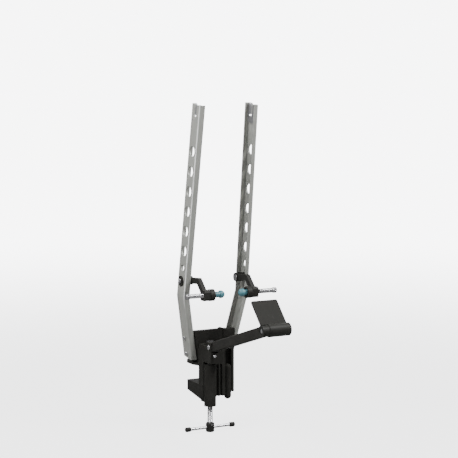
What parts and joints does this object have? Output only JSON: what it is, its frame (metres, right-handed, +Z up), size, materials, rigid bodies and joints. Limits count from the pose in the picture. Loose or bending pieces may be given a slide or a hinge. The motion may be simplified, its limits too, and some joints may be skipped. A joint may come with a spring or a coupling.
{
  "type": "bicycle wheel truing stand",
  "caption": "Bench-edge clamp stand with two leaning geared uprights holding a wheel axle, swinging side feelers on screws and a hinged radial gauge blade.",
  "frame": {"origin": "on the bench-top contact face of the upper jaw, at the bench's front edge, in the wheel's mid-plane", "axes": "+Z up from the bench top, +Y into the bench away from the user, +X along the wheel axle from the gauge arm's side to the other"},
  "size_m": [0.175, 0.2933, 0.5746],
  "materials": {
    "grey_paint": "satin light grey paint on bent steel sheet",
    "black_body": "black glass-filled plastic with a fine moulded texture",
    "black_smooth": "black plastic, semi gloss",
    "blue_tip": "soft blue plastic",
    "bright_steel": "nickel or zinc plated steel",
    "plain_steel": "turned steel",
    "brass": "turned brass insert",
    "slide_plastic": "natural white bearing plastic"
  },
  "bodies": {
    "base": {"clamp_body": "black_body", "rear_cover": "black_body", "cover_screws": "bright_steel", "foot_pins": "plain_steel", "foot_washers": "slide_plastic", "thrust_washer": "black_smooth", "gauge_pivot_bolt": "bright_steel", "gauge_pivot_nut": "plain_steel", "arm_stop_screw": "bright_steel"},
    "lower_jaw": {"lower_jaw": "black_body", "jaw_nut": "plain_steel"},
    "spindle": {"clamp_spindle": "bright_steel", "spindle_handle": "black_smooth", "handle_pin": "plain_steel"},
    "tommy_bar": {"tommy_bar": "bright_steel", "tommy_bar_caps": "black_smooth"},
    "gauge_arm": {"gauge_arm": "black_smooth"},
    "gauge_head": {"gauge_barrel": "black_smooth", "gauge_blade": "black_body", "barrel_screw": "bright_steel"},
    "right_upright": {"right_upright": "grey_paint", "right_foot": "black_body", "right_foot_bolts": "bright_steel", "right_axle_seat": "plain_steel", "right_seat_rivets": "plain_steel", "right_friction_washer": "black_smooth", "right_caliper_bolt": "bright_steel", "right_caliper_nut": "bright_steel"},
    "right_caliper": {"right_caliper": "black_smooth", "right_thread_insert": "brass"},
    "right_feeler_tip": {"right_feeler_tip": "blue_tip"},
    "right_feeler_screw": {"right_feeler_rod": "bright_steel", "right_feeler_knob": "bright_steel"},
    "left_upright": {"left_upright": "grey_paint", "left_foot": "black_body", "left_foot_bolts": "bright_steel", "left_axle_seat": "plain_steel", "left_seat_rivets": "plain_steel", "left_friction_washer": "black_smooth", "left_caliper_bolt": "bright_steel", "left_caliper_nut": "bright_steel"},
    "left_caliper": {"left_caliper": "black_smooth", "left_thread_insert": "brass"},
    "left_feeler_tip": {"left_feeler_tip": "blue_tip"},
    "left_feeler_screw": {"left_feeler_rod": "bright_steel", "left_feeler_knob": "bright_steel"}
  },
  "joints": [
    {"name": "right_upright_spread", "type": "hinge", "parent": "base", "child": "right_upright", "pos_m": [0.018, 0.02, 0.0344], "axis": [0, 0.9893, 0.1461], "range_deg": [-0.7, 3.9]},
    {"name": "right_caliper_swing", "type": "hinge", "parent": "right_upright", "child": "right_caliper", "pos_m": [0.045, 0.0026, 0.15222], "axis": [-1, 0, 0], "range_deg": [-25, 55]},
    {"name": "right_feeler_travel", "type": "slide", "parent": "right_caliper", "child": "right_feeler_tip", "axis": [-1, 0, 0], "range_m": [-0.004, 0.0155]},
    {"name": "right_feeler_turn", "type": "hinge", "parent": "right_feeler_tip", "child": "right_feeler_screw", "pos_m": [0.05, -0.058, 0.134], "axis": [-1, 0, 0], "range_deg": [-1140, 4400]},
    {"name": "left_upright_spread", "type": "hinge", "parent": "base", "child": "left_upright", "pos_m": [-0.018, 0.02, 0.0344], "axis": [0, 0.9893, 0.1461], "range_deg": [-3.9, 0.7]},
    {"name": "left_caliper_swing", "type": "hinge", "parent": "left_upright", "child": "left_caliper", "pos_m": [-0.045, 0.0026, 0.15222], "axis": [-1, 0, 0], "range_deg": [-25, 55]},
    {"name": "left_feeler_travel", "type": "slide", "parent": "left_caliper", "child": "left_feeler_tip", "axis": [1, 0, 0], "range_m": [-0.011, 0.0085]},
    {"name": "left_feeler_turn", "type": "hinge", "parent": "left_feeler_tip", "child": "left_feeler_screw", "pos_m": [-0.05, -0.058, 0.134], "axis": [1, 0, 0], "range_deg": [-3150, 2400]},
    {"name": "spindle_turn", "type": "hinge", "parent": "base", "child": "spindle", "pos_m": [-0.0193, -0.021, -0.03], "axis": [0, 0, -1], "range_deg": [-4300, 4300]},
    {"name": "jaw_travel", "type": "slide", "parent": "base", "child": "lower_jaw", "axis": [0, 0, 1], "range_m": [-0.024, 0.024]},
    {"name": "tommy_bar_slide", "type": "slide", "parent": "spindle", "child": "tommy_bar", "axis": [1, 0, 0], "range_m": [-0.028, 0.028]},
    {"name": "gauge_arm_swing", "type": "hinge", "parent": "base", "child": "gauge_arm", "pos_m": [-0.022, -0.04, 0.0396], "axis": [-1, 0, 0], "range_deg": [-20, 35]},
    {"name": "gauge_blade_tilt", "type": "hinge", "parent": "gauge_arm", "child": "gauge_head", "pos_m": [0, -0.2205, 0.096], "axis": [1, 0, 0], "range_deg": [-2, 70]}
  ],
  "couplings": [
    {"joint": "right_feeler_travel", "follows": "right_feeler_turn", "m_per_rad": 0.00019894},
    {"joint": "left_feeler_travel", "follows": "left_feeler_turn", "m_per_rad": 0.00019894},
    {"joint": "left_upright_spread", "follows": "right_upright_spread", "ratio": -1},
    {"joint": "jaw_travel", "follows": "spindle_turn", "m_per_rad": 0.00031831}
  ]
}
